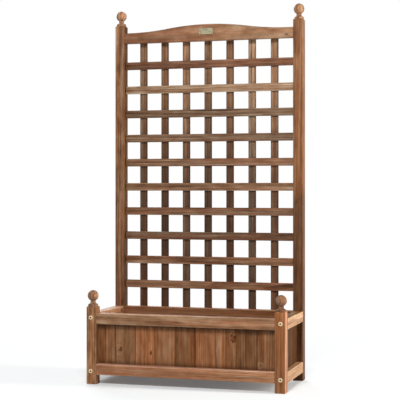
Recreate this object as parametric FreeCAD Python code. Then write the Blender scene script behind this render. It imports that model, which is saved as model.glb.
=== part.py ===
import FreeCAD, Part
import math
import os

# Planter box with a trellis, built from softwood: posts, rails, boards and laths.
# Millimetres. +Z is up, +X is to the right seen from the front, +Y is towards the trellis at the back.
# The origin is on the ground, at the middle of the footprint.

os.makedirs("parts", exist_ok=True)
Vector = FreeCAD.Vector

# Overall
overall_width = 640.0           # over the posts, along X
overall_depth = 285.0           # over the posts, along Y
front_post_rise = 21.0          # upper rail to the shoulder of a front post
rear_post_rise = 25.5           # end of the top rail to the shoulder of a rear post

# Posts
post_size = 33.0
post_edge_radius = 2.5
post_shoulder_chamfer = 3.0     # round the top, under the finial
foot_chamfer = 1.5              # round the foot

# Finials: a dowel tenon, a base ring, a cove, a neck and a ball
finial_ring_radius = 15.5
finial_ring_height = 7.0
finial_ring_edge = 1.0
finial_neck_radius = 8.3
finial_cove_height = 7.5
finial_neck_length = 3.3
finial_ball_radius = 17.3
finial_dowel_radius = 5.0
finial_dowel_length = 18.0

# Rails of the box
rail_height = 34.0
rail_edge_radius = 3.0
rail_setback = 3.0              # inner face of a post to that of a front or side rail
upper_rail_bottom = 189.0       # ground to the underside, all round
lower_rail_bottom = 30.0        # front and rear
side_lower_rail_bottom = 27.0   # the side rails hang slightly lower
rebate_height = 10.0            # the boards lap the rails by this much

# Stub tenons on the front, rear and top rails
tenon_thickness = 12.0
tenon_length = 12.0
tenon_shoulder = 6.0            # rail wood above and below the tenon
joint_clearance = 0.2

# Boards of the box
board_thickness = 10.0
front_board_width = 65.3        # the two end boards are trimmed to fit
least_end_board = 30.0          # a narrower one would split at its nails
side_board_width = 54.75
board_edge_chamfer = 0.8
board_end_clearance = 0.5

# Arched top rail of the trellis
top_rail_bottom = 1097.5
top_rail_end_height = 34.0
top_rail_crown_height = 54.5
top_rail_end_flat = 17.0        # straight length beside each post
top_rail_edge_radius = 2.0

# Trellis laths
lath_thickness = 8.0
lath_edge_chamfer = 1.0
cross_lath_height = 25.5
cross_lath_count = 10
cross_lath_housing = 6.0        # how far the ends go into the posts
lowest_gap = 61.0               # rear upper rail to the lowest cross lath
highest_gap = 61.5              # highest cross lath to the top rail
upright_lath_width = 24.5
upright_lath_count = 7
upright_lath_shift = -4.0       # the set of uprights stands this far left of centre
upright_lath_lap = 28.0         # over the backs of the rear upper rail and the top rail

# Floor of the box
batten_size = 20.0
batten_end_clearance = 2.0
batten_drop = 12.0              # top of the lower rails down to the top of the battens
slat_width = 60.0
slat_thickness = 8.0
slat_gap = 3.0                  # drains the box
slat_end_clearance = 1.0
slat_edge_chamfer = 1.0

# Connector bolts and barrel nuts
bolt_radius = 3.0
bolt_reach = 9.0                # past the axis of the barrel nut
bolt_head_radius = 7.0
bolt_head_height = 2.5
bolt_head_chamfer = 1.0
bolt_socket_across_flats = 4.0
bolt_socket_depth = 1.8
bolt_hole_clearance = 0.3
bolt_inset = 14.0               # from the top of the upper side rail and the foot of the lower one
barrel_radius = 5.0
barrel_length = 14.0
barrel_setback = 18.0           # end of the side rail to the axis of the barrel
barrel_slot_width = 1.2
barrel_slot_depth = 1.5

# Nails and screws
nail_radius = 0.9
nail_head_radius = 1.8
nail_head_height = 0.8
panel_nail_length = 18.0
panel_nail_inset = 14.0         # from the long edges of a board, less on a narrow one
trellis_nail_cover = 2.0        # wood left over the point
slat_nail_length = 20.0
screw_radius = 2.0
screw_head_radius = 4.0
screw_head_height = 2.4
screw_length = 34.0
screws_per_batten = 4

# Badge plate, left bare
badge_width = 48.0
badge_height = 19.5
badge_corner_radius = 3.5
badge_thickness = 1.6
badge_rim_width = 1.4
badge_rim_height = 0.5
badge_shift = -3.0              # left of centre
badge_centre_height = 31.0      # above the underside of the top rail
badge_pin_radius = 0.8
badge_pin_head_radius = 1.5
badge_pin_head_height = 0.7
badge_pin_length = 9.0
badge_pin_inset = 4.0           # from the ends of the plate

# Making
cutter_overrun = 1.0            # a cutter starts this far outside the wood
flatness = 0.01                 # edges this close to a plane lie in it

# Sizes and places worked out from the sizes
half_width = overall_width / 2
half_depth = overall_depth / 2
post_inner_x = half_width - post_size
post_inner_y = half_depth - post_size
front_face = -half_depth
front_rail_thickness = post_size - rail_setback
side_rail_thickness = post_size - rail_setback
rear_rail_thickness = post_size - lath_thickness    # the uprights end flush with the posts' backs
top_rail_thickness = post_size - lath_thickness
front_rail_back = front_face + front_rail_thickness
rear_rail_front = post_inner_y
rear_rail_back = rear_rail_front + rear_rail_thickness
side_rail_inner = half_width - side_rail_thickness
side_board_outer = side_rail_inner + board_thickness
upper_rail_top = upper_rail_bottom + rail_height
lower_rail_top = lower_rail_bottom + rail_height
side_lower_rail_top = side_lower_rail_bottom + rail_height
board_top = upper_rail_bottom + rebate_height - board_end_clearance
board_bottom = lower_rail_top - rebate_height + board_end_clearance
side_board_bottom = side_lower_rail_top - rebate_height + board_end_clearance
top_rail_back = post_inner_y + top_rail_thickness
front_post_height = upper_rail_top + front_post_rise
rear_post_height = top_rail_bottom + top_rail_end_height + rear_post_rise
cross_lath_back = rear_rail_back
cross_lath_front = cross_lath_back - lath_thickness
batten_top = lower_rail_top - batten_drop
bolt_x = half_width - side_rail_thickness / 2
bolt_length = post_size + barrel_setback + bolt_reach
bolt_heights = (upper_rail_top - bolt_inset, side_lower_rail_bottom + bolt_inset)
trellis_nail_length = 2 * lath_thickness - trellis_nail_cover

AXES = {"x": Vector(1, 0, 0), "y": Vector(0, 1, 0), "z": Vector(0, 0, 1)}
SIDES = {"left": -1, "right": 1}
ENDS = {"front": -1, "rear": 1}


def block(corner, opposite):
    """A box between two corners, given in any order."""
    low = [min(a, b) for a, b in zip(corner, opposite)]
    high = [max(a, b) for a, b in zip(corner, opposite)]
    size = [b - a for a, b in zip(low, high)]
    return Part.makeBox(*size, Vector(*low))


def edges_along(solid, axis):
    """The straight edges that run along an axis."""
    straight = [e for e in solid.Edges if isinstance(e.Curve, Part.Line)]
    return [e for e in straight if abs(e.Curve.Direction.dot(AXES[axis])) > 0.999]


def edges_at_height(solid, height):
    """The edges that lie in a level plane."""
    def reach(edge):
        return max(abs(edge.BoundBox.ZMin - height), abs(edge.BoundBox.ZMax - height))

    return [e for e in solid.Edges if reach(e) < flatness]


def one_solid(shape):
    """The single solid that a cut or a union leaves."""
    solids = shape.removeSplitter().Solids
    if len(solids) != 1:
        raise ValueError(f"expected one solid, got {len(solids)}")
    return solids[0]


def drilled(piece, tools):
    """A piece with the tools that meet it cut away."""
    near = [t for t in tools if t.BoundBox.intersect(piece.BoundBox)]
    return one_solid(piece.cut(near)) if near else piece


def export(name, *solids):
    """Writes one node: a solid, or a group of separate solids."""
    shape = solids[0] if len(solids) == 1 else Part.makeCompound(list(solids))
    shape.exportStep(f"parts/{name}.step")


# Fasteners

def headed_pin(point, direction, shank_radius, length, head_radius, head_height):
    """A nail or screw, its head's outer face at the point, driven along the direction."""
    head = Part.makeCylinder(head_radius, head_height, point, direction)
    shank = Part.makeCylinder(shank_radius, length, point, direction)
    return one_solid(head.fuse(shank))


def nail(point, direction, length):
    return headed_pin(point, direction, nail_radius, length, nail_head_radius, nail_head_height)


def screw(point, direction):
    """A countersunk screw, its head flush with the wood."""
    head = Part.makeCone(screw_head_radius, screw_radius, screw_head_height, point, direction)
    shank = Part.makeCylinder(screw_radius, screw_length, point, direction)
    return one_solid(head.fuse(shank))


def hexagon(across_flats, depth, centre, direction):
    """A hexagonal prism, for a socket."""
    radius = across_flats / math.sqrt(3)
    corners = [
        Vector(centre.x + radius * math.cos(math.radians(60 * k)), centre.y,
               centre.z + radius * math.sin(math.radians(60 * k)))
        for k in range(7)
    ]
    return Part.Face(Part.makePolygon(corners)).extrude(direction * depth)


def connector_bolt(side, end, height):
    """A bolt through a post, into the end of a side rail. Its head lies on the post."""
    inward = Vector(0, -end, 0)
    seat = Vector(side * bolt_x, end * half_depth, height)
    head = Part.makeCylinder(bolt_head_radius, bolt_head_height, seat, -inward)
    face = Vector(seat.x, seat.y + end * bolt_head_height, seat.z)
    rim = [e for e in head.Edges if abs(e.CenterOfMass.y - face.y) < flatness]
    head = head.makeChamfer(bolt_head_chamfer, rim)
    shank = Part.makeCylinder(bolt_radius, bolt_length, seat, inward)
    socket = hexagon(bolt_socket_across_flats, bolt_socket_depth, face, inward)
    return one_solid(head.fuse(shank).cut(socket))


def bolt_hole(side, end, height):
    """The clearance hole for a bolt, through the post and past the barrel nut."""
    seat = Vector(side * bolt_x, end * half_depth, height)
    depth = bolt_length + bolt_hole_clearance
    return Part.makeCylinder(bolt_radius + bolt_hole_clearance, depth, seat, Vector(0, -end, 0))


def barrel_hole(side, end, height):
    """The cross hole for a barrel nut, open on the inside of the side rail."""
    mouth = Vector(side * side_rail_inner, end * (post_inner_y - barrel_setback), height)
    depth = bolt_x + barrel_length / 2 - side_rail_inner
    return Part.makeCylinder(barrel_radius, depth, mouth, Vector(side, 0, 0))


def barrel_nut(side, end, height):
    """A barrel nut round the bolt's thread, with a screwdriver slot in its inner face."""
    inner_face = Vector(side * (bolt_x - barrel_length / 2), end * (post_inner_y - barrel_setback), height)
    barrel = Part.makeCylinder(barrel_radius, barrel_length, inner_face, Vector(side, 0, 0))
    thread_start = Vector(side * bolt_x, inner_face.y - barrel_radius, height)
    thread = Part.makeCylinder(bolt_radius, 2 * barrel_radius, thread_start, Vector(0, 1, 0))
    slot_reach = barrel_slot_width / 2
    slot = block(
        (inner_face.x, inner_face.y - barrel_radius, height - slot_reach),
        (inner_face.x + side * barrel_slot_depth, inner_face.y + barrel_radius, height + slot_reach),
    )
    return one_solid(barrel.cut([thread, slot]))


bolt_places = [
    (side, end, height)
    for side in SIDES.values()
    for end in ENDS.values()
    for height in bolt_heights
]
bolts = [connector_bolt(*place) for place in bolt_places]
barrel_nuts = [barrel_nut(*place) for place in bolt_places]
bolt_holes = [bolt_hole(*place) for place in bolt_places]
barrel_holes = [barrel_hole(*place) for place in bolt_places]


# Rails and their tenons

def tenon(side, y_low, y_high, z_low, z_high, clearance=0.0):
    """A stub tenon on the end of a rail that runs along X, or its mortise when there is a clearance."""
    middle = (y_low + y_high) / 2
    reach = tenon_thickness / 2 + clearance
    end_x = post_inner_x + tenon_length + clearance
    return block(
        (side * post_inner_x, middle - reach, z_low + tenon_shoulder - clearance),
        (side * end_x, middle + reach, z_high - tenon_shoulder + clearance),
    )


def cross_rail(y_low, y_high, z_low):
    """A rail between two posts, along X, with its long edges eased."""
    blank = block((-post_inner_x, y_low, z_low), (post_inner_x, y_high, z_low + rail_height))
    return blank.makeFillet(rail_edge_radius, edges_along(blank, "x"))


def side_rail(side, z_low):
    """A rail between a front and a rear post, along Y."""
    blank = block(
        (side * side_rail_inner, -post_inner_y, z_low),
        (side * half_width, post_inner_y, z_low + rail_height),
    )
    return blank.makeFillet(rail_edge_radius, edges_along(blank, "y"))


def rebate_span(z_low, is_upper):
    """The heights between which a rail is cut back for the boards."""
    if is_upper:
        return z_low, z_low + rebate_height
    return z_low + rail_height - rebate_height, z_low + rail_height


def tenoned(rail, y_low, y_high, z_low, z_high):
    """A rail with a stub tenon on each end."""
    return one_solid(rail.fuse([tenon(side, y_low, y_high, z_low, z_high) for side in SIDES.values()]))


def mortises(y_low, y_high, z_low, z_high):
    return [tenon(side, y_low, y_high, z_low, z_high, joint_clearance) for side in SIDES.values()]


# Board layouts

def board_seams(half_span, width):
    """Where boards meet across a span: full boards about the centre, the end ones trimmed."""
    full = int(2 * (half_span - least_end_board) / width)
    edge = full * width / 2
    inner = [-edge + width * k for k in range(full + 1)]
    return [-half_span] + inner + [half_span]


def even_seams(half_span, width):
    """Where equal boards of about this width meet across a span."""
    count = round(2 * half_span / width)
    return [-half_span + 2 * half_span * k / count for k in range(count + 1)]


def eased_board(corner, opposite):
    """An upright board, its long edges slightly chamfered."""
    blank = block(corner, opposite)
    return blank.makeChamfer(board_edge_chamfer, edges_along(blank, "z"))


front_seams = board_seams(post_inner_x, front_board_width)
side_seams = even_seams(post_inner_y, side_board_width)
front_board_back = front_rail_back
front_board_front = front_board_back - board_thickness
rear_board_front = rear_rail_front
rear_board_back = rear_board_front + board_thickness


def panel_nails(seams, z_low, z_high, place, direction):
    """Two nails through each end of each board, into the rails. place(along, height) gives a point."""
    nails = []
    for start, stop in zip(seams, seams[1:]):
        inset = min(panel_nail_inset, (stop - start) / 4)
        for along in (start + inset, stop - inset):
            for height in (z_low + rebate_height / 2, z_high - rebate_height / 2):
                nails.append(nail(place(along, height), direction, panel_nail_length))
    return nails


front_nails = panel_nails(
    front_seams, board_bottom, board_top, lambda x, z: Vector(x, front_board_back, z), Vector(0, -1, 0)
)
rear_nails = panel_nails(
    front_seams, board_bottom, board_top, lambda x, z: Vector(x, rear_board_front, z), Vector(0, 1, 0)
)
side_nails = {
    side: panel_nails(
        side_seams, side_board_bottom, board_top,
        lambda y, z, side=side: Vector(side * side_rail_inner, y, z), Vector(side, 0, 0),
    )
    for side in SIDES.values()
}

# Trellis places

lowest_lath = upper_rail_top + lowest_gap + cross_lath_height / 2
highest_lath = top_rail_bottom - highest_gap - cross_lath_height / 2
cross_lath_pitch = (highest_lath - lowest_lath) / (cross_lath_count - 1)
cross_lath_heights = [lowest_lath + cross_lath_pitch * k for k in range(cross_lath_count)]
upright_gap = (2 * post_inner_x - upright_lath_count * upright_lath_width) / (upright_lath_count + 1)
upright_pitch = upright_gap + upright_lath_width
upright_lath_xs = [
    upright_lath_shift + upright_pitch * (k - (upright_lath_count - 1) / 2) for k in range(upright_lath_count)
]
upright_low = upper_rail_top - upright_lath_lap
upright_high = top_rail_bottom + upright_lath_lap
end_nail_inset = upright_lath_lap / 2
nailing_heights = [upright_low + end_nail_inset] + cross_lath_heights + [upright_high - end_nail_inset]
trellis_nails = [
    nail(Vector(x, cross_lath_back + lath_thickness, z), Vector(0, -1, 0), trellis_nail_length)
    for x in upright_lath_xs
    for z in nailing_heights
]

# Floor places

front_batten_back = front_rail_back + batten_size
rear_batten_front = rear_rail_front - batten_size
batten_reach = post_inner_x - batten_end_clearance
slat_count = int((2 * post_inner_x - slat_gap) // (slat_width + slat_gap))
slat_pitch = slat_width + slat_gap
slat_xs = [slat_pitch * (k - (slat_count - 1) / 2) for k in range(slat_count)]
slat_top = batten_top + slat_thickness
slat_nails = [
    nail(Vector(x, y, slat_top), Vector(0, 0, -1), slat_nail_length)
    for x in slat_xs
    for y in (front_rail_back + batten_size / 2, rear_rail_front - batten_size / 2)
]
gap_xs = [x + slat_pitch / 2 for x in slat_xs[:-1]]
gaps_per_screw = (len(gap_xs) - 1) / (screws_per_batten - 1)
batten_screws = [
    screw(Vector(gap_xs[round(gaps_per_screw * k)], y, batten_top - batten_size / 2), Vector(0, way, 0))
    for k in range(screws_per_batten)
    for y, way in ((front_batten_back, -1), (rear_batten_front, 1))
]


# Posts and finials

def finial(side, end, height):
    """A turned finial: dowel, base ring, cove, neck and ball, all round one upright axis."""
    cove_top = finial_ring_height + finial_cove_height
    neck_top = cove_top + finial_neck_length
    ball_height = neck_top + math.sqrt(finial_ball_radius ** 2 - finial_neck_radius ** 2)
    ball_top = ball_height + finial_ball_radius
    cove_depth = finial_ring_radius - finial_ring_edge - finial_neck_radius
    cove_bulge = 1 - math.sqrt(0.5)

    def at(radius, z):
        return Vector(radius, 0, z)

    lines = [
        at(0, -finial_dowel_length),
        at(finial_dowel_radius, -finial_dowel_length),
        at(finial_dowel_radius, 0),
        at(finial_ring_radius, 0),
        at(finial_ring_radius, finial_ring_height - finial_ring_edge),
        at(finial_ring_radius - finial_ring_edge, finial_ring_height),
    ]
    edges = [Part.makeLine(a, b) for a, b in zip(lines, lines[1:])]
    cove_middle = at(finial_neck_radius + cove_depth * cove_bulge,
                     finial_ring_height + finial_cove_height * cove_bulge)
    edges.append(Part.Arc(lines[-1], cove_middle, at(finial_neck_radius, cove_top)).toShape())
    edges.append(Part.makeLine(at(finial_neck_radius, cove_top), at(finial_neck_radius, neck_top)))
    ball_side = at(finial_ball_radius, ball_height)
    edges.append(Part.Arc(at(finial_neck_radius, neck_top), ball_side, at(0, ball_top)).toShape())
    edges.append(Part.makeLine(at(0, ball_top), lines[0]))
    turned = Part.Face(Part.Wire(edges)).revolve(Vector(0, 0, 0), AXES["z"], 360)
    turned.translate(Vector(side * (half_width - post_size / 2), end * (half_depth - post_size / 2), height))
    return one_solid(turned)


def post_blank(side, end, height):
    """A square post, its corners eased and its shoulder and foot chamfered."""
    blank = block(
        (side * half_width, end * half_depth, 0),
        (side * post_inner_x, end * post_inner_y, height),
    )
    column = blank.makeFillet(post_edge_radius, edges_along(blank, "z"))
    trimmed = blank.makeChamfer(post_shoulder_chamfer, edges_at_height(blank, height))
    trimmed = trimmed.makeChamfer(foot_chamfer, edges_at_height(trimmed, 0))
    return one_solid(column.common(trimmed))


def dowel_hole(side, end, height):
    top = Vector(side * (half_width - post_size / 2), end * (half_depth - post_size / 2), height)
    depth = finial_dowel_length + joint_clearance
    return Part.makeCylinder(finial_dowel_radius + joint_clearance, depth, top, Vector(0, 0, -1))


def lath_housing(side, z_middle):
    """The pocket in a rear post that holds the end of a cross lath."""
    return block(
        (side * (post_inner_x - cutter_overrun), cross_lath_front - joint_clearance,
         z_middle - cross_lath_height / 2 - joint_clearance),
        (side * (post_inner_x + cross_lath_housing + joint_clearance), cross_lath_back + joint_clearance,
         z_middle + cross_lath_height / 2 + joint_clearance),
    )


front_mortises = []
rear_mortises = mortises(post_inner_y, top_rail_back, top_rail_bottom, top_rail_bottom + top_rail_end_height)
for rail_low in (upper_rail_bottom, lower_rail_bottom):
    front_mortises += mortises(front_face, front_rail_back, rail_low, rail_low + rail_height)
    rear_mortises += mortises(rear_rail_front, rear_rail_back, rail_low, rail_low + rail_height)
for side in SIDES.values():
    rear_mortises += [lath_housing(side, z) for z in cross_lath_heights]

for side_name, side in SIDES.items():
    for end_name, end in ENDS.items():
        post_height = front_post_height if end_name == "front" else rear_post_height
        sockets = front_mortises if end_name == "front" else rear_mortises
        cuts = sockets + bolt_holes + [dowel_hole(side, end, post_height)]
        export(f"{end_name}_{side_name}_post", drilled(post_blank(side, end, post_height), cuts))
        export(f"{end_name}_{side_name}_finial", finial(side, end, post_height))

# Front and rear rails

rail_fasteners = front_nails + rear_nails + trellis_nails + batten_screws
for rail_name, rail_low in (("upper", upper_rail_bottom), ("lower", lower_rail_bottom)):
    cut_low, cut_high = rebate_span(rail_low, rail_name == "upper")
    front_rebate = block((-half_width, front_board_front, cut_low), (half_width, half_depth, cut_high))
    rail = cross_rail(front_face, front_rail_back, rail_low).cut(front_rebate)
    rail = tenoned(rail, front_face, front_rail_back, rail_low, rail_low + rail_height)
    export(f"front_{rail_name}_rail", drilled(rail, rail_fasteners))

    rear_rebate = block((-half_width, -half_depth, cut_low), (half_width, rear_board_back, cut_high))
    rail = cross_rail(rear_rail_front, rear_rail_back, rail_low).cut(rear_rebate)
    rail = tenoned(rail, rear_rail_front, rear_rail_back, rail_low, rail_low + rail_height)
    export(f"rear_{rail_name}_rail", drilled(rail, rail_fasteners))

# Side rails

for side_name, side in SIDES.items():
    for rail_name, rail_low in (("upper", upper_rail_bottom), ("lower", side_lower_rail_bottom)):
        cut_low, cut_high = rebate_span(rail_low, rail_name == "upper")
        rebate = block((0, -half_depth, cut_low), (side * side_board_outer, half_depth, cut_high))
        rail = side_rail(side, rail_low).cut(rebate)
        export(f"{side_name}_{rail_name}_rail", drilled(rail, side_nails[side] + bolt_holes + barrel_holes))

# Boards

for number, (start, stop) in enumerate(zip(front_seams, front_seams[1:]), 1):
    board = eased_board((start, front_board_front, board_bottom), (stop, front_board_back, board_top))
    export(f"front_board_{number}", drilled(board, front_nails))

rear_boards = [
    eased_board((start, rear_board_front, board_bottom), (stop, rear_board_back, board_top))
    for start, stop in zip(front_seams, front_seams[1:])
]
export("rear_boards", *[drilled(board, rear_nails) for board in rear_boards])

for side_name, side in SIDES.items():
    side_boards = [
        drilled(
            eased_board((side * side_rail_inner, start, side_board_bottom),
                        (side * side_board_outer, stop, board_top)),
            side_nails[side],
        )
        for start, stop in zip(side_seams, side_seams[1:])
    ]
    export(f"{side_name}_side_boards", *side_boards)


# Arched top rail

def arched_blank():
    """Flat at the ends, then an S-curve of two arcs up to the crown on each side."""
    reach = post_inner_x - top_rail_end_flat
    end_top = top_rail_bottom + top_rail_end_height
    rise = top_rail_crown_height - top_rail_end_height
    arc_radius = (reach / 2) ** 2 / rise + rise / 4
    y = post_inner_y

    def on_end_arc(x):
        from_flat = reach - abs(x)
        return Vector(x, y, end_top + arc_radius - math.sqrt(arc_radius ** 2 - from_flat ** 2))

    crown = Vector(0, y, top_rail_bottom + top_rail_crown_height)
    arc_middle = 0.75 * reach       # halfway along an end arc, which runs from the flat to half the reach
    left_low = Vector(-post_inner_x, y, top_rail_bottom)
    right_low = Vector(post_inner_x, y, top_rail_bottom)
    left_end = Vector(-post_inner_x, y, end_top)
    right_end = Vector(post_inner_x, y, end_top)
    outline = [
        Part.makeLine(left_low, left_end),
        Part.makeLine(left_end, on_end_arc(-reach)),
        Part.Arc(on_end_arc(-reach), on_end_arc(-arc_middle), on_end_arc(-reach / 2)).toShape(),
        Part.Arc(on_end_arc(-reach / 2), crown, on_end_arc(reach / 2)).toShape(),
        Part.Arc(on_end_arc(reach / 2), on_end_arc(arc_middle), on_end_arc(reach)).toShape(),
        Part.makeLine(on_end_arc(reach), right_end),
        Part.makeLine(right_end, right_low),
        Part.makeLine(right_low, left_low),
    ]
    blank = Part.Face(Part.Wire(outline)).extrude(Vector(0, top_rail_thickness, 0))
    long_edges = [e for e in blank.Edges if e.BoundBox.XLength > flatness and e.BoundBox.YLength < flatness]
    return blank.makeFillet(top_rail_edge_radius, long_edges)


def badge_pin(side):
    """A small round-headed pin through the plate, into the top rail."""
    x = badge_shift + side * (badge_width / 2 - badge_pin_inset)
    point = Vector(x, post_inner_y - badge_thickness + badge_rim_height - badge_pin_head_height,
                   top_rail_bottom + badge_centre_height)
    return headed_pin(point, Vector(0, 1, 0), badge_pin_radius, badge_pin_length,
                      badge_pin_head_radius, badge_pin_head_height)


def rounded_plate(half_x, half_z, radius, y_low, y_high):
    """An upright plate with round corners, about the badge's centre."""
    z = top_rail_bottom + badge_centre_height
    plate = block((badge_shift - half_x, y_low, z - half_z), (badge_shift + half_x, y_high, z + half_z))
    return plate.makeFillet(radius, edges_along(plate, "y"))


badge_pins = [badge_pin(side) for side in SIDES.values()]
badge_front = post_inner_y - badge_thickness
plate = rounded_plate(badge_width / 2, badge_height / 2, badge_corner_radius, badge_front, post_inner_y)
field = rounded_plate(
    badge_width / 2 - badge_rim_width, badge_height / 2 - badge_rim_width,
    badge_corner_radius - badge_rim_width, badge_front, badge_front + badge_rim_height,
)
export("badge_plate", drilled(one_solid(plate.cut(field)), badge_pins))
export("badge_pins", *badge_pins)

top_rail = tenoned(
    arched_blank(), post_inner_y, top_rail_back, top_rail_bottom, top_rail_bottom + top_rail_end_height
)
export("arched_top_rail", drilled(top_rail, trellis_nails + badge_pins))

# Trellis laths

for number, z in enumerate(cross_lath_heights, 1):
    reach = post_inner_x + cross_lath_housing
    lath = block(
        (-reach, cross_lath_front, z - cross_lath_height / 2),
        (reach, cross_lath_back, z + cross_lath_height / 2),
    )
    lath = lath.makeChamfer(lath_edge_chamfer, edges_along(lath, "x"))
    export(f"cross_lath_{number}", drilled(lath, trellis_nails))

for number, x in enumerate(upright_lath_xs, 1):
    lath = block(
        (x - upright_lath_width / 2, cross_lath_back, upright_low),
        (x + upright_lath_width / 2, cross_lath_back + lath_thickness, upright_high),
    )
    lath = lath.makeChamfer(lath_edge_chamfer, edges_along(lath, "z"))
    export(f"upright_lath_{number}", drilled(lath, trellis_nails))

# Floor

for batten_name, y_low, y_high in (
    ("front", front_rail_back, front_batten_back),
    ("rear", rear_batten_front, rear_rail_front),
):
    batten = block((-batten_reach, y_low, batten_top - batten_size), (batten_reach, y_high, batten_top))
    export(f"{batten_name}_floor_batten", drilled(batten, batten_screws + slat_nails))

slats = []
for x in slat_xs:
    slat = block(
        (x - slat_width / 2, front_rail_back + slat_end_clearance, batten_top),
        (x + slat_width / 2, rear_rail_front - slat_end_clearance, slat_top),
    )
    slat = slat.makeChamfer(slat_edge_chamfer, edges_along(slat, "y"))
    slats.append(drilled(slat, slat_nails))
export("floor_slats", *slats)

# Fastener groups

export("connector_bolts", *bolts)
export("barrel_nuts", *barrel_nuts)
export("panel_nails", *front_nails, *rear_nails, *side_nails[-1], *side_nails[1])
export("trellis_nails", *trellis_nails)
export("slat_nails", *slat_nails)
export("batten_screws", *batten_screws)
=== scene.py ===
import math
import random

import bpy
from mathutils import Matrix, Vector


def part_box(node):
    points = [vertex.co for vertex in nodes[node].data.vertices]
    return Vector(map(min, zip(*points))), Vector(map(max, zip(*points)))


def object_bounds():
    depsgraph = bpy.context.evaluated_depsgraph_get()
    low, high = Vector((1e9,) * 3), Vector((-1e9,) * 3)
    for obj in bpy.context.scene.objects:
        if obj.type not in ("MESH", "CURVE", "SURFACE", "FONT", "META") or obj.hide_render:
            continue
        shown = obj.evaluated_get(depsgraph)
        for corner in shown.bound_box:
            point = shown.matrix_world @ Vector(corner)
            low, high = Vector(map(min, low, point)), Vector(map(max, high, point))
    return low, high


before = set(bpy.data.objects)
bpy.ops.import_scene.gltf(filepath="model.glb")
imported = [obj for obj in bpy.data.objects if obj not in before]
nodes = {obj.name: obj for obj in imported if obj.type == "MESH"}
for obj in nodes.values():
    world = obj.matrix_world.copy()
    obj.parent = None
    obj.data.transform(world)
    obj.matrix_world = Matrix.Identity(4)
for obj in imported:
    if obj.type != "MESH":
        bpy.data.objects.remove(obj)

# Looks of a stained softwood planter with a trellis. Metres, in the model's own frame:
# +Z up, +X to the right seen from the front, +Y towards the trellis at the back.

cad_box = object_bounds()
ALONG = {"x": 0, "y": 1, "z": 2}
WHITE = (1.0, 1.0, 1.0)

# Sockets of the mix node when it mixes colours
MIX_FACTOR, MIX_FIRST, MIX_SECOND, MIX_RESULT = 0, 6, 7, 2


# Node graphs

class Graph:
    """Adds nodes to a node tree. An input may be a number, a colour or another node's output."""

    def __init__(self, tree):
        self.tree = tree

    def feed(self, socket, value):
        """Links an output to a socket, or sets the socket to a value."""
        if isinstance(value, bpy.types.NodeSocket):
            self.tree.links.new(value, socket)
        else:
            socket.default_value = value

    def node(self, kind, inputs=(), **settings):
        """A new node. Its inputs are given by name or in order."""
        made = self.tree.nodes.new(kind)
        for name, value in settings.items():
            setattr(made, name, value)
        pairs = inputs.items() if isinstance(inputs, dict) else enumerate(inputs)
        for key, value in pairs:
            self.feed(made.inputs[key], value)
        return made

    def add(self, kind, inputs=(), output=0, **settings):
        """One output of a new node."""
        return self.node(kind, inputs, **settings).outputs[output]

    def math(self, operation, *inputs, clamp=False):
        return self.add("ShaderNodeMath", inputs, operation=operation, use_clamp=clamp)

    def vector(self, operation, *inputs, output=0):
        return self.add("ShaderNodeVectorMath", inputs, output, operation=operation)

    def scaled(self, vector, factors):
        return self.vector("MULTIPLY", vector, factors)

    def combine(self, x, y, z):
        return self.add("ShaderNodeCombineXYZ", (x, y, z))

    def split(self, vector):
        return list(self.node("ShaderNodeSeparateXYZ", (vector,)).outputs)

    def length(self, x, y):
        return self.vector("LENGTH", self.combine(x, y, 0.0), output="Value")

    def noise(self, vector, scale=1.0, detail=2.0, roughness=0.5):
        """Smooth noise, about 0.5 on average."""
        inputs = {"Vector": vector, "Scale": scale, "Detail": detail, "Roughness": roughness}
        return self.add("ShaderNodeTexNoise", inputs)

    def random_of(self, value):
        """A random number from 0 to 1 for each whole number."""
        return self.add("ShaderNodeTexWhiteNoise", {"W": value}, noise_dimensions="1D")

    def step(self, value, low, high, start=0.0, stop=1.0):
        """Goes smoothly from start to stop as the value goes from low to high."""
        inputs = {"Value": value, "From Min": low, "From Max": high, "To Min": start, "To Max": stop}
        return self.add("ShaderNodeMapRange", inputs, interpolation_type="SMOOTHSTEP")

    def about(self, value, amount, middle=0.5):
        """The value less its middle, times an amount."""
        return self.math("MULTIPLY", self.math("SUBTRACT", value, middle), amount)

    def sum(self, *values):
        total = values[0]
        for value in values[1:]:
            total = self.math("ADD", total, value)
        return total

    def mix(self, factor, first, second, blend="MIX"):
        inputs = {MIX_FACTOR: factor, MIX_FIRST: first, MIX_SECOND: second}
        return self.add("ShaderNodeMix", inputs, MIX_RESULT, data_type="RGBA", blend_type=blend)

    def ramp(self, value, stops):
        """The colour for a value, blended between the stops: (value, colour) of each."""
        node = self.node("ShaderNodeValToRGB", (value,))
        elements = node.color_ramp.elements
        elements[0].position, elements[0].color = stops[0][0], rgba(stops[0][1])
        elements[1].position, elements[1].color = stops[-1][0], rgba(stops[-1][1])
        for position, colour in stops[1:-1]:
            elements.new(position).color = rgba(colour)
        return node.outputs[0]


def rgba(colour):
    return (*colour, 1.0)


def new_group(name, inputs, outputs):
    """A node group with its graph, the outputs that bring its inputs, and the inputs of its last node."""
    tree = bpy.data.node_groups.new(name, "ShaderNodeTree")
    for socket, kind, value in inputs:
        made = tree.interface.new_socket(socket, in_out="INPUT", socket_type=kind)
        made.default_value = value
    for socket, kind in outputs:
        tree.interface.new_socket(socket, in_out="OUTPUT", socket_type=kind)
    source = tree.nodes.new("NodeGroupInput")
    sink = tree.nodes.new("NodeGroupOutput")
    return tree, Graph(tree), source.outputs, sink.inputs


def new_material(name):
    """An empty material and its graph."""
    material = bpy.data.materials.new(name)
    material.use_nodes = True
    material.node_tree.nodes.clear()
    return material, Graph(material.node_tree)


# Stained fir: the wood itself, as a log with an upright pith

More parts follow.
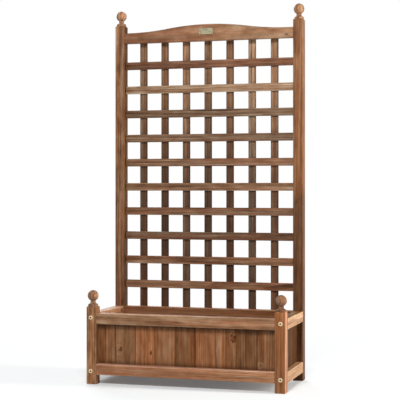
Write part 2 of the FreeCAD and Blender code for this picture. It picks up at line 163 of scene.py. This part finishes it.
FLOAT, VECTOR, COLOUR = "NodeSocketFloat", "NodeSocketVector", "NodeSocketColor"
FIR_INPUTS = [
    ("Log", VECTOR, (0.0, 0.0, 0.0)), ("Tone", FLOAT, 1.0), ("Warmth", FLOAT, 0.0), ("Figure", FLOAT, 1.0),
    ("Richness", FLOAT, 1.0), ("Mottle", FLOAT, 1.0), ("Swell", FLOAT, 0.0), ("Knot", FLOAT, 0.0),
    ("Halo", FLOAT, 0.0), ("Edge", FLOAT, 0.0), ("End", FLOAT, 0.0),
]
FIR_OUTPUTS = [("Color", COLOUR), ("Roughness", FLOAT), ("Height", FLOAT)]

# From the darkest to the palest wood
FIR_STOPS = [
    (0.02, (0.085, 0.030, 0.012)),
    (0.30, (0.200, 0.082, 0.033)),
    (0.52, (0.300, 0.142, 0.066)),
    (0.74, (0.420, 0.230, 0.125)),
    (1.00, (0.560, 0.360, 0.225)),
]
REDDER = (1.12, 0.90, 0.82)       # factors of the colour where the stain is warmest
GREYER = (0.88, 1.06, 1.22)       # and where it is coolest
KNOT_DARK = (0.066, 0.024, 0.011)
KNOT_HEART = (0.230, 0.075, 0.030)
KNOT_FADE = (0.0, 0.7)            # knot mask over which the wood darkens
HEART_FADE = (0.86, 0.99)         # knot mask over which the heart shows
HEART_PATCHES = (0.40, 0.62)      # blotches over which the heart goes from dark to red

# Layers of noise: how fine across the grain and along it, detail and roughness
LAYERS = {
    "wander": (13.0, 1.3, 2.0, 0.5),
    "broad": (24.0, 1.3, 2.0, 0.5),
    "streaks": (125.0, 3.2, 3.0, 0.6),
    "lines": (270.0, 4.5, 3.0, 0.6),
    "fine": (520.0, 11.0, 3.0, 0.65),
    "fibres": (1900.0, 60.0, 2.0, 0.5),
    "blotches": (60.0, 22.0, 3.0, 0.5),
    "hue": (45.0, 2.0, 2.0, 0.5),
    "hue_streaks": (170.0, 6.0, 2.0, 0.5),
}
# How strongly layers make the wood lighter, redder and higher
SHADE = {"broad": 0.45, "streaks": 0.60, "lines": 0.55, "fine": 0.50}
REDNESS = {"hue": 2.0, "hue_streaks": 2.2}
RELIEF = {"fine": 0.55, "fibres": 0.50, "streaks": 0.50}

RING_WIDTH = 0.0042
RING_BEND = 0.014                 # how far the rings wander from round
RING_CHANGE, RING_SPREAD = 0.31, 2.2   # noise per ring that varies their width, and its size
LATE_GROWS, LATE_STOPS = (0.30, 0.90), (0.93, 1.0)   # late wood, in shares of a ring
LATE_MIDDLE = 0.3

# Shares in the lightness of the wood
LATE_SHADE, RING_SHADE, BLOTCH_SHADE = -0.16, 0.14, 0.42
EDGE_SHADE, HALO_SHADE, END_SHADE = 0.18, 0.20, -0.28

ROUGHNESS = 0.56
FINE_ROUGH, LATE_ROUGH, END_ROUGH = 0.22, -0.10, 0.12
LATE_HEIGHT, KNOT_HEIGHT = 0.30, -0.35


def layer(g, log, across, along, detail, roughness):
    """Noise that is drawn out along the grain."""
    return g.noise(g.scaled(log, (across, across, along)), detail=detail, roughness=roughness)


def weighed(g, layers, weights):
    """The named layers, each less its middle and times its weight."""
    return [g.about(layers[name], weight) for name, weight in weights.items()]


def growth_rings(g, log, wander, swell):
    """How far the wood is late wood, and a random number for each ring."""
    x, y, _ = g.split(log)
    distance = g.sum(g.length(x, y), g.about(wander, RING_BEND), swell)
    ring = g.math("DIVIDE", distance, RING_WIDTH)
    change = g.noise(g.combine(0.0, 0.0, ring), RING_CHANGE, detail=1.0)
    ring = g.math("ADD", ring, g.about(change, RING_SPREAD))
    phase = g.math("FRACT", ring)
    late = g.math("MULTIPLY", g.step(phase, *LATE_GROWS), g.step(phase, *LATE_STOPS, 1.0, 0.0))
    return late, g.random_of(g.math("FLOOR", ring))


def fir_lightness(g, given, layers, late, ring_tone):
    """Where the wood lies between its darkest and its palest colour."""
    figure = g.sum(
        *weighed(g, layers, SHADE),
        g.about(late, LATE_SHADE, LATE_MIDDLE),
        g.about(ring_tone, RING_SHADE),
        g.math("MULTIPLY", g.about(layers["blotches"], BLOTCH_SHADE), given["Mottle"]),
    )
    value = g.math("ADD", g.math("MULTIPLY", figure, given["Figure"]), 0.5)
    value = g.sum(value, g.math("MULTIPLY", given["Edge"], EDGE_SHADE),
                  g.math("MULTIPLY", given["Halo"], HALO_SHADE))
    return g.math("ADD", value, g.math("MULTIPLY", given["End"], END_SHADE), clamp=True)


def fir_colour(g, given, layers, lightness):
    """The stained wood and its knots, with the tone and richness of the piece."""
    colour = g.ramp(lightness, FIR_STOPS)
    redness = g.sum(given["Warmth"], *weighed(g, layers, REDNESS))
    redder = g.mix(1.0, colour, rgba(REDDER), "MULTIPLY")
    greyer = g.mix(1.0, colour, rgba(GREYER), "MULTIPLY")
    colour = g.mix(g.step(redness, -1.0, 1.0), greyer, redder)
    heart = g.mix(g.step(layers["blotches"], *HEART_PATCHES), rgba(KNOT_DARK), rgba(KNOT_HEART))
    knot = g.mix(g.step(given["Knot"], *HEART_FADE), rgba(KNOT_DARK), heart)
    colour = g.mix(g.step(given["Knot"], *KNOT_FADE), colour, knot)
    tone = g.combine(given["Tone"], given["Tone"], given["Tone"])
    colour = g.mix(1.0, colour, tone, "MULTIPLY")
    return g.add("ShaderNodeHueSaturation", {"Color": colour, "Saturation": given["Richness"]})


def fir_group():
    """Softwood as a log: growth rings about an upright pith, streaks along it, and fibres."""
    tree, g, given, made = new_group("stained_fir", FIR_INPUTS, FIR_OUTPUTS)
    log = given["Log"]
    layers = {name: layer(g, log, *settings) for name, settings in LAYERS.items()}
    late, ring_tone = growth_rings(g, log, layers["wander"], given["Swell"])
    lightness = fir_lightness(g, given, layers, late, ring_tone)
    g.feed(made["Color"], fir_colour(g, given, layers, lightness))

    end_rough = g.math("MULTIPLY", given["End"], END_ROUGH)
    rough = g.sum(ROUGHNESS, g.about(layers["fine"], FINE_ROUGH), g.about(late, LATE_ROUGH), end_rough)
    g.feed(made["Roughness"], rough)
    knot_height = g.math("MULTIPLY", given["Knot"], KNOT_HEIGHT)
    height = g.sum(g.math("MULTIPLY", late, LATE_HEIGHT), *weighed(g, layers, RELIEF), knot_height)
    g.feed(made["Height"], height)
    return tree


fir_tree = fir_group()


# A piece of wood: its place in the log, and its marks

DARK_RICHNESS = 0.12              # darker pieces took more stain
ARRIS = 0.0022                    # depth to which most faces of another tone reach
SKIN = 0.0004                     # depth down to which such a face has that tone in full
PITH_REACH = (0.05, 0.13)         # how far the pith is from the middle of the piece
LEAN = 0.008                      # the grain's slope against the piece, at most
LOG_SHIFT = (2, 40)               # where along the log it was cut
BOARD_TONE, BOARD_PITH = 0.36, 0.08    # spread of tone and of pith between the boards of a group
BOARD_SHIFT = 9.0                 # how far apart along the log they are cut, at most
SECOND_DRAW = 50                  # moves the second random number away from the first
RAGGED = 260.0                    # noise per metre that makes the borders of the marks uneven
EDGE_RAGGED, EDGE_FADE = -0.0045, (0.0004, 0.0034)     # unevenness and reach of the pale and the dark arrises: rubbed wood with a painted highlight, and painted shade
END_FACING = (0.75, 0.95)         # how squarely a face cuts the grain before it counts as end grain
# Painted shade on the fronts of boards under the upper rail and above the lower rail: its reach and the
# unevenness of its border
CORNER_REACH, CORNER_RAGGED = 0.017, 0.003
LOW_PAINTED_SHADE, HIGH_PAINTED_SHADE = 0.42, 0.66  # how much the painted shade darkens the lower and the upper corner
FRONT_FACING = (-0.9, -0.5)       # y of the normal, from full painted shade on the front to none on the sides
BUMP_STRENGTH, BUMP_HEIGHT = 0.55, 0.0007

# Knots, lengths in radii
KNOT_WAVES, KNOT_WAVE = 150.0, 1.6     # noise per metre of their outline, and its size
KNOT_RIM = (0.55, 1.15)
KNOT_NEAR, KNOT_PUSH = (0.5, 3.0), 0.7     # where the rings are pushed aside, and how far
KNOT_STRETCH = 0.75               # below 1 the knot is longer along the grain
HALO_RIM, HALO_STRENGTH, HALO_STRETCH = (0.4, 1.5), 0.55, 0.16


def along_grain(g, point, axis):
    """A point with its grain direction as the last coordinate."""
    x, y, z = g.split(point)
    order = {"x": (y, z, x), "y": (z, x, y), "z": (x, y, z)}[axis]
    return g.combine(*order)


def times(radius, shares):
    """Lengths that are given in radii."""
    return [radius * share for share in shares]


def face_of_another_tone(g, local, half, far_face, richness):
    """The tone factor and the richness of a piece that looks different at one face."""
    axis, face_tone, face_richness, depth = far_face
    to_face = g.math("SUBTRACT", half[ALONG[axis]], g.split(local)[ALONG[axis]])
    tone = g.step(to_face, SKIN, depth, face_tone, 1.0)
    return tone, g.step(to_face, SKIN, depth, richness * face_richness, richness)


def unshaded_share(g, point, normal, ragged, axis, corners):
    """1 away from the painted shade, and less towards the two corners along the front, where shade is
    painted.
    """
    low, high = corners
    place = g.math("ADD", g.split(point)[ALONG[axis]], g.about(ragged, CORNER_RAGGED))
    low_shading = g.step(place, low, low + CORNER_REACH, LOW_PAINTED_SHADE, 0.0)
    high_shading = g.step(place, high - CORNER_REACH, high, 0.0, HIGH_PAINTED_SHADE)
    shading = g.math("MAXIMUM", low_shading, high_shading)
    outward = g.step(g.split(normal)[ALONG["y"]], *FRONT_FACING, 1.0, 0.0)
    return g.math("SUBTRACT", 1.0, g.math("MULTIPLY", shading, outward))


def board_draws(g, point, repeat, shift):
    """Two random numbers for each board of a group."""
    axis, start, pitch = repeat
    from_start = g.math("SUBTRACT", g.split(point)[ALONG[axis]], start)
    number = g.math("FLOOR", g.math("DIVIDE", from_start, pitch))
    return [g.random_of(g.math("ADD", number, draw)) for draw in (shift, shift + SECOND_DRAW)]


def arris_wear_and_light(g, local, half, ragged, wear):
    """How pale the arrises are, rubbed and with a painted highlight, or how dark, with painted shade and
    dark joints. Their distance is the middle one of the distances to the faces.
    """
    a, b, c = g.split(g.vector("SUBTRACT", tuple(half), g.vector("ABSOLUTE", local)))
    nearer, farther = g.math("MINIMUM", a, b), g.math("MAXIMUM", a, b)
    to_edge = g.math("MAXIMUM", nearer, g.math("MINIMUM", farther, c))
    return g.step(g.math("ADD", to_edge, g.about(ragged, EDGE_RAGGED)), *EDGE_FADE, wear, 0.0)


def knot_marks(g, point, axis, knots):
    """The mask of the knots, how far they push the rings, and the mask of the paler wood at them."""
    mask, swell, halo = 0.0, 0.0, 0.0
    for centre, radius, depth in knots:
        u, v, w = g.split(along_grain(g, g.vector("SUBTRACT", point, centre), axis))
        across = g.length(u, v)
        wavy = g.about(g.noise(point, KNOT_WAVES), radius * KNOT_WAVE)
        distance = g.math("ADD", g.length(across, g.math("MULTIPLY", w, KNOT_STRETCH)), wavy)
        mask = g.math("MAXIMUM", mask, g.step(distance, *times(radius, KNOT_RIM), depth, 0.0))
        near = g.step(distance, *times(radius, KNOT_NEAR), 1.0, 0.0)
        swell = g.math("ADD", swell, g.math("MULTIPLY", near, radius * KNOT_PUSH))
        tail = g.length(across, g.math("MULTIPLY", w, HALO_STRETCH))
        halo = g.math("MAXIMUM", halo, g.step(tail, *times(radius, HALO_RIM), HALO_STRENGTH, 0.0))
    return mask, swell, halo


def fir(name, axis, low, high, tone=1.0, drift=(1.0, 1.0), over=(0.0, 1.0), warmth=0.0, warmth_far=None,
        richness=1.0, figure=1.0, mottle=1.0, gloss=0.2, wear=1.0, pith=None, repeat=None,
        far_face=None, corners=None, knots=()):
    """Wood for a piece between two corners of a box, its grain along an axis.

    tone: how light the piece is. drift: factors of it at the low and the high end. over: the stretch
        of the piece over which it drifts, in shares of its length.
    warmth: how red it is at the low end. warmth_far: the same at the high end, if it differs.
    richness: strength of the colour, a little more in dark pieces.
    figure, mottle: strength of the streaks and of the blotches.
    gloss: strength of the shine. wear: how pale the arrises are, rubbed and with a painted highlight, or
    how dark if below 0, with painted shade and dark joints.
    pith: how far away the pith is, where that isn't left to chance.
    repeat: (axis, start, pitch) of a group of boards, to give each its own place in the log.
    far_face: (axis, tone, richness, depth) of the face at the high end of an axis, where it looks
        different, the tone and the richness as factors.
    corners: the two places along the grain towards which shade is painted on the front.
    knots: (centre, radius, depth) of each.
    """
    dice = random.Random(name)
    richness = richness + DARK_RICHNESS * (1.0 - min(tone, 1.0))
    material, g = new_material(name)
    point = g.add("ShaderNodeTexCoord", output="Object")
    normal = g.add("ShaderNodeNewGeometry", output="Normal")
    ragged = g.noise(point, RAGGED)
    half = (Vector(high) - Vector(low)) / 2
    local = g.vector("SUBTRACT", point, tuple((Vector(low) + Vector(high)) / 2))
    x, y, z = g.split(along_grain(g, local, axis))

    reach = dice.uniform(*PITH_REACH) if pith is None else pith
    turn = dice.uniform(0, 2 * math.pi)
    pith_x, pith_y = reach * math.cos(turn), reach * math.sin(turn)
    lean_x, lean_y = dice.uniform(-LEAN, LEAN), dice.uniform(-LEAN, LEAN)
    shift = dice.uniform(*LOG_SHIFT)

    end_z = half[ALONG[axis]]
    from_low, to_high = (end_z * (2 * share - 1) for share in over)
    tone_now = g.math("MULTIPLY", g.step(z, from_low, to_high, *drift), tone)
    warmth = g.step(z, -end_z, end_z, warmth, warmth if warmth_far is None else warmth_far)
    if far_face:
        face_tone, richness = face_of_another_tone(g, local, half, far_face, richness)
        tone_now = g.math("MULTIPLY", face_tone, tone_now)
    # Painted shade on the front, towards the rails
    if corners:
        unshaded = unshaded_share(g, point, normal, ragged, axis, corners)
        tone_now = g.math("MULTIPLY", unshaded, tone_now)
    if repeat:
        chance, second = board_draws(g, point, repeat, shift)
        tone_now = g.math("MULTIPLY", g.sum(1.0, g.about(chance, BOARD_TONE)), tone_now)
        pith_x = g.sum(pith_x, g.about(second, BOARD_PITH))
        z = g.math("ADD", z, g.math("MULTIPLY", chance, BOARD_SHIFT))
    x = g.sum(x, pith_x, g.math("MULTIPLY", z, lean_x))
    y = g.sum(y, pith_y, g.math("MULTIPLY", z, lean_y))

    mask, swell, halo = knot_marks(g, point, axis, knots)
    facing = g.math("ABSOLUTE", g.split(normal)[ALONG[axis]])
    wood = g.node("ShaderNodeGroup", node_tree=fir_tree)
    values = {
        "Log": g.combine(x, y, g.math("ADD", z, shift)), "Tone": tone_now, "Warmth": warmth,
        "Richness": richness, "Figure": figure, "Mottle": mottle, "Swell": swell, "Knot": mask,
        "Halo": halo, "Edge": arris_wear_and_light(g, local, half, ragged, wear), "End": g.step(facing, *END_FACING),
    }
    for key, value in values.items():
        g.feed(wood.inputs[key], value)
    height = wood.outputs["Height"]
    bump = g.add("ShaderNodeBump", {"Height": height, "Strength": BUMP_STRENGTH, "Distance": BUMP_HEIGHT})
    shader = g.add("ShaderNodeBsdfPrincipled", {
        "Base Color": wood.outputs["Color"], "Roughness": wood.outputs["Roughness"], "Normal": bump,
        "Specular IOR Level": gloss,
    })
    g.node("ShaderNodeOutputMaterial", {"Surface": shader})
    return material


# Metals

# Colour of the painted shade in the sockets of the bolt heads and where their bevel begins
PAINTED_SHADE_COLOUR = (0.030, 0.016, 0.009)
BOLT_HEAD = 0.007                 # radius
SOCKET_RIM = (0.0022, 0.0034)     # distances from the middle of a bolt head
GROOVE_INSIDE, GROOVE_OUTSIDE = (0.0052, 0.0058), (0.0060, 0.0066)
GROOVE_DARK = 0.75
PAINTED_SHADE_RAGGED = 0.0012
EVEN_GRAIN = (900.0, 900.0, 900.0)
DULL_PATCHES, DULL_FADE = 160.0, (0.42, 0.72)
LINES_ROUGH, DULL_ROUGH = 0.16, 0.25
METAL_RELIEF, METAL_HEIGHT = 0.25, 0.0002


def bolt_painted_shade(g, point, lines):
    """Painted shade in the sockets of the bolt heads, and a fine line of painted shade where their bevel
    begins.
    """
    low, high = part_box("connector_bolts")
    x, _, z = g.split(point)
    off_x = g.math("SUBTRACT", g.math("ABSOLUTE", x), high.x - BOLT_HEAD)
    off_lower = g.math("ABSOLUTE", g.math("SUBTRACT", z, low.z + BOLT_HEAD))
    off_upper = g.math("ABSOLUTE", g.math("SUBTRACT", z, high.z - BOLT_HEAD))
    radius = g.length(off_x, g.math("MINIMUM", off_lower, off_upper))
    radius = g.math("ADD", radius, g.about(lines, PAINTED_SHADE_RAGGED))
    socket = g.step(radius, *SOCKET_RIM, 1.0, 0.0)
    within = g.step(radius, *GROOVE_OUTSIDE, GROOVE_DARK, 0.0)
    groove = g.math("MULTIPLY", g.step(radius, *GROOVE_INSIDE), within)
    return g.math("MAXIMUM", socket, groove)


def metal(name, colour, dark, rough, grain=EVEN_GRAIN, painted_shade=None):
    """Plated or brushed metal: fine lines, dulled patches, roughness that varies with both.
    grime: makes a mask of the painted shade from the graph, the point and the lines."""
    material, g = new_material(name)
    point = g.add("ShaderNodeTexCoord", output="Object")
    lines = g.noise(g.scaled(point, grain))
    dull = g.noise(point, DULL_PATCHES, detail=3.0)
    base = g.mix(g.step(dull, *DULL_FADE), rgba(colour), rgba(dark))
    if painted_shade:
        base = g.mix(painted_shade(g, point, lines), base, rgba(PAINTED_SHADE_COLOUR))
    roughness = g.sum(rough, g.about(lines, LINES_ROUGH), g.about(dull, DULL_ROUGH))
    bump = g.add("ShaderNodeBump", {"Height": lines, "Strength": METAL_RELIEF, "Distance": METAL_HEIGHT})
    shader = g.add("ShaderNodeBsdfPrincipled", {
        "Base Color": base, "Roughness": roughness, "Normal": bump, "Metallic": 1.0,
    })
    g.node("ShaderNodeOutputMaterial", {"Surface": shader})
    return material


# Which wood each piece is cut from. A knot here is (place, radius, depth), its place in shares of
# the piece's box: from left to right, from front to back and from the bottom up.

def dress(node, material):
    piece = nodes[node]
    piece.data.materials.clear()
    piece.data.materials.append(material)


def wooden(node, axis, knots=(), **looks):
    low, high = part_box(node)
    placed = []
    for shares, radius, depth in knots:
        centre = tuple(a + (b - a) * share for a, b, share in zip(low, high, shares))
        placed.append((centre, radius, depth))
    dress(node, fir(node, axis, low, high, knots=placed, **looks))


# Posts and finials
# The arrises of posts and rails are pale: rubbed wood with a painted highlight
wooden("front_left_post", "z", tone=0.89, drift=(0.98, 0.84), warmth=0.05, richness=1.06, figure=1.3,
       mottle=1.6, wear=0.8)
# Its right side is lighter: painted light
wooden("front_right_post", "z", tone=0.81, drift=(0.88, 1.04), warmth=0.25, richness=1.07, wear=1.2,
       far_face=("x", 1.34, 0.87, ARRIS))
# Its right side, towards the inside of the trellis, is darker: painted shade
wooden("rear_left_post", "z", tone=0.66, drift=(0.82, 1.06), warmth=0.3, warmth_far=-0.2, figure=1.5,
       mottle=1.5, wear=1.2, far_face=("x", 0.5, 1.4, ARRIS), knots=[((0.4848, 0, 0.8323), 0.0045, 0.3)])
# Its lower part and its right side are darker: painted shade
wooden("rear_right_post", "z", tone=0.69, drift=(0.49, 0.95), over=(0.486, 0.55), warmth=0.6,
       warmth_far=0.0, richness=1.05, figure=1.3, wear=0.8, far_face=("x", 0.70, 1.0, ARRIS),
       knots=[((0.3939, 0, 0.4927), 0.0045, 0.35)])
FINIAL_PITH = 0.022
# Each is lighter at the top and darker below: painted light and shade
for name, tone, warmth in (("front_left", 0.80, -0.4), ("front_right", 0.51, 0.1),
                           ("rear_left", 1.10, -0.6), ("rear_right", 0.90, -0.35)):
    wooden(f"{name}_finial", "z", tone=tone, drift=(0.82, 1.12), warmth=warmth, figure=1.4, wear=0.0,
           pith=FINIAL_PITH)

# Rails
HIGHLIGHT_STRIP = 0.0060               # depth of the painted highlight along the top of the front lower rail
wooden("front_upper_rail", "x", tone=0.93, drift=(0.97, 1.03), warmth=-0.3, figure=1.1, mottle=1.6,
       wear=1.2)
# Its top is paler: a painted highlight
wooden("front_lower_rail", "x", tone=0.98, drift=(0.85, 1.20), warmth=0.4, warmth_far=-0.2, figure=1.1,
       wear=1.3, far_face=("z", 1.40, 0.85, HIGHLIGHT_STRIP))
for name in ("rear_upper_rail", "rear_lower_rail"):
    wooden(name, "x", tone=0.75, warmth=0.3)
# The right rails are paler and greyer: painted light. The top of the upper rail is darker: painted shade
wooden("right_upper_rail", "y", tone=1.44, warmth=-1.3, far_face=("z", 0.32, 1.6, ARRIS),
       knots=[((1, 0.7511, 0.6765), 0.0060, 0.35)])
wooden("right_lower_rail", "y", tone=1.24, warmth=-1.0, richness=1.05)
for name in ("left_upper_rail", "left_lower_rail"):
    wooden(name, "y", tone=0.95)
wooden("arched_top_rail", "x", tone=0.90, drift=(0.54, 1.22), warmth=0.7, warmth_far=-0.9, figure=0.52,
       mottle=4.0, wear=0.4, knots=[
    ((0.9423, 0, 0.2073), 0.0060, 0.45),
    ((0.4498, 0, 0.7798), 0.0060, 0.18),
    ((0.2492, 0, 0.5596), 0.0065, 0.0),
    ((0.3194, 0, 0.5963), 0.0085, 0.0),
])

# Front boards from left to right: tone, warmth, figure, tone factor of the right edge, and knots
front_boards = [
    (0.672, 0.20, 0.95, 0.80, []),
    (0.819, -0.20, 0.75, 0.75, [((0.2596, 0, 0.3868), 0.0070, 0.46)]),
    (0.924, 0.35, 0.85, 0.75, [((0.7833, 0, 0.3410), 0.0046, 0.47)]),
    (0.756, 0.20, 0.80, 0.90, []),
    (0.5565, 0.05, 0.85, 0.10, []),
    (0.861, 0.35, 0.90, 0.90, []),
    (0.7455, 0.10, 0.95, 0.85, [((0.8553, 0, 0.7194), 0.0100, 1.0)]),
    (0.525, -0.10, 0.80, 0.10, []),
    (0.7245, -0.10, 0.80, 0.70, [((0.1685, 0, 0.1701), 0.0042, 0.38)]),
]
# The boards' fronts get painted shade under the upper rail and above the lower rail
rail_gap = (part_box("front_lower_rail")[1].z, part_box("front_upper_rail")[0].z)
for number, (tone, warmth, figure, edge_tone, knots) in enumerate(front_boards, 1):
    wooden(f"front_board_{number}", "z", tone=tone, warmth=warmth, richness=1.01, figure=figure,
           mottle=1.7, gloss=0.1, wear=-0.5, far_face=("x", edge_tone, 1.4, ARRIS), corners=rail_gap,
           knots=knots)

# Rear and side boards, each a group in one piece
MIDDLE_BOARD, SIDE_BOARDS = 5, 4
board_low, board_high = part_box(f"front_board_{MIDDLE_BOARD}")
board_width = board_high.x - board_low.x
boards_start = board_low.x - (MIDDLE_BOARD - 1) * board_width
wooden("rear_boards", "z", tone=0.72, warmth=0.3, richness=1.1, wear=0.0,
       repeat=("x", boards_start, board_width))
# The right side's boards are much darker than the left's: painted shade in their recess
for side, tone, richness, gloss in (("left", 0.64, 1.10, 0.2), ("right", 0.205, 1.05, 0.06)):
    low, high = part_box(f"{side}_side_boards")
    wooden(f"{side}_side_boards", "z", tone=tone, warmth=0.2, richness=richness, gloss=gloss, wear=0.0,
           repeat=("y", low.y, (high.y - low.y) / SIDE_BOARDS))

# Cross laths from the bottom up: tone at the left and at the right, warmth
cross_looks = [
    (0.63, 0.74, 0.1), (0.68, 0.80, 0.1), (0.38, 0.45, 0.1), (0.50, 0.58, 0.1), (0.74, 0.76, -0.3),
    (0.52, 0.58, 0.1), (0.56, 0.48, -0.3), (0.52, 0.62, -0.6), (0.86, 0.98, -1.0), (0.38, 0.55, 0.7),
]
for number, (left, right, warmth) in enumerate(cross_looks, 1):
    wooden(f"cross_lath_{number}", "x", drift=(left, right), warmth=warmth, figure=1.7, wear=0.4)

# Upright laths from left to right: tone, factor of it in the lower part, warmth at the foot and at the top
upright_looks = [
    (0.60, 0.52, 0.3, -0.4), (0.58, 0.36, 0.3, -0.4), (1.15, 0.33, -0.2, -0.9), (0.74, 0.38, -0.2, -0.9),
    (0.52, 0.38, 0.8, 0.1), (1.10, 0.30, -0.4, -1.1), (0.92, 0.42, 0.1, -0.6),
]
# Their arrises are dark: painted shade
for number, (tone, lower, warmth, warmth_far) in enumerate(upright_looks, 1):
    wooden(f"upright_lath_{number}", "z", tone=tone, drift=(lower, 1.08), over=(0.42, 0.92),
           warmth=warmth, warmth_far=warmth_far, figure=1.3, wear=-2.2)

# Floor of the box
SLATS = 9
for name in ("front_floor_batten", "rear_floor_batten"):
    wooden(name, "x", tone=0.8)
slat_low, slat_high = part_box("floor_slats")
wooden("floor_slats", "y", tone=0.8, wear=0.0, repeat=("x", slat_low.x, (slat_high.x - slat_low.x) / SLATS))

# Metal pieces
brass = metal("plated_brass", colour=(0.92, 0.73, 0.46), dark=(0.66, 0.45, 0.25), rough=0.24,
              painted_shade=bolt_painted_shade)
plate_brass = metal("plate_brass", colour=(0.30, 0.27, 0.18), dark=(0.17, 0.15, 0.09), rough=0.42,
                    grain=(60.0, 900.0, 2400.0))
zinc = metal("zinc", colour=(0.66, 0.66, 0.64), dark=(0.48, 0.48, 0.47), rough=0.34)
for node, material in (
    ("connector_bolts", brass), ("badge_plate", plate_brass), ("badge_pins", plate_brass),
    ("barrel_nuts", zinc), ("batten_screws", zinc), ("panel_nails", zinc), ("trellis_nails", zinc),
    ("slat_nails", zinc),
):
    dress(node, material)


# Camera, at the photograph's place and framing (a square image)

CAMERA_PLACE = (1.11857, -3.62488, 0.61617)
CAMERA_TURN = 0.29678             # radians to the left; it looks level
SENSOR_WIDTH, LENS = 36.0, 107.4  # mm
CAMERA_SHIFT = -0.0303            # in widths of the image

camera = bpy.data.objects.new("camera", bpy.data.cameras.new("camera"))
bpy.context.scene.collection.objects.link(camera)
camera.location = CAMERA_PLACE
camera.rotation_euler = (math.radians(90), 0.0, CAMERA_TURN)
camera.data.sensor_width = SENSOR_WIDTH
camera.data.lens = LENS
camera.data.shift_y = CAMERA_SHIFT
bpy.context.scene.camera = camera


# Lights

TRELLIS_Y = 0.125
WARM_WHITE = (1.0, 0.97, 0.92)


def area_light(name, place, aim, size, power, colour=WHITE):
    """A soft lamp. Its size is width and height, its power in watts."""
    light = bpy.data.lights.new(name, "AREA")
    light.shape = "RECTANGLE"
    light.size, light.size_y = size
    light.energy = power
    light.color = colour
    lamp = bpy.data.objects.new(name, light)
    lamp.location = place
    lamp.rotation_euler = (Vector(aim) - Vector(place)).to_track_quat("-Z", "Y").to_euler()
    bpy.context.scene.collection.objects.link(lamp)


area_light("side_key", place=(3.2, TRELLIS_Y, 0.85), aim=(0.3, TRELLIS_Y, 0.5), size=(0.3, 1.1),
           power=138.0, colour=WARM_WHITE)
area_light("front_light", place=(0.45, -2.3, 2.35), aim=(0.0, 0.0, 0.6), size=(1.0, 0.7), power=80.0)
area_light("rear_fill", place=(-2.0, 2.9, 2.3), aim=(0.0, 0.0, 0.5), size=(2.4, 1.8), power=125.0)


# Background and floor

AMBIENT = 0.18                    # strength of the background as a light; to look at it is 1, white
SHOWN = ("Is Camera Ray", "Is Glossy Ray", "Is Transmission Ray")
FLOOR_REACH = 12.0
FLOOR_COLOUR = (0.81, 0.845, 0.86)
# Shares of plain white in the floor, which add up. Each goes, between two distances from the object
# (first two values), from one share to another (last two).
NEAR_FADE = (0.0, 0.05, 0.13, 0.50)
FAR_FADE = (0.1, 1.5, 0.0, 0.50)


def seen_directly(g):
    """1 for what the camera sees, also in a gloss or through glass."""
    rays = g.node("ShaderNodeLightPath").outputs
    first, second, third = (rays[name] for name in SHOWN)
    return g.math("MAXIMUM", g.math("MAXIMUM", first, second), third)


def studio_world():
    """A white background, and a dim light from all sides."""
    world = bpy.data.worlds.new("studio")
    world.use_nodes = True
    world.node_tree.nodes.clear()
    g = Graph(world.node_tree)
    strength = g.math("ADD", AMBIENT, g.math("MULTIPLY", seen_directly(g), 1.0 - AMBIENT))
    background = g.add("ShaderNodeBackground", {"Color": rgba(WHITE), "Strength": strength})
    g.node("ShaderNodeOutputWorld", {"Surface": background})
    return world


def pale_floor():
    """Pale floor that keeps the shadow near the object and fades to white away from it."""
    material, g = new_material("pale_floor")
    point = g.add("ShaderNodeTexCoord", output="Object")
    outside = []
    for place, reach in zip(g.split(point)[:2], cad_box[1][:2]):
        outside.append(g.math("MAXIMUM", g.math("SUBTRACT", g.math("ABSOLUTE", place), reach), 0.0))
    away = g.length(*outside)
    plain = g.math("ADD", g.step(away, *NEAR_FADE), g.step(away, *FAR_FADE))
    fade = g.math("MULTIPLY", plain, seen_directly(g))
    diffuse = g.add("ShaderNodeBsdfDiffuse", {"Color": rgba(FLOOR_COLOUR)})
    white = g.add("ShaderNodeEmission", {"Strength": 1.0})
    g.node("ShaderNodeOutputMaterial", {"Surface": g.add("ShaderNodeMixShader", (fade, diffuse, white))})
    return material


bpy.context.scene.world = studio_world()

floor_mesh = bpy.data.meshes.new("floor")
corners = [(-FLOOR_REACH, -FLOOR_REACH, 0.0), (FLOOR_REACH, -FLOOR_REACH, 0.0),
           (FLOOR_REACH, FLOOR_REACH, 0.0), (-FLOOR_REACH, FLOOR_REACH, 0.0)]
floor_mesh.from_pydata(corners, [], [(0, 1, 2, 3)])
floor_mesh.materials.append(pale_floor())
floor = bpy.data.objects.new("floor", floor_mesh)
bpy.context.scene.collection.objects.link(floor)

bpy.context.scene.view_settings.view_transform = "Standard"
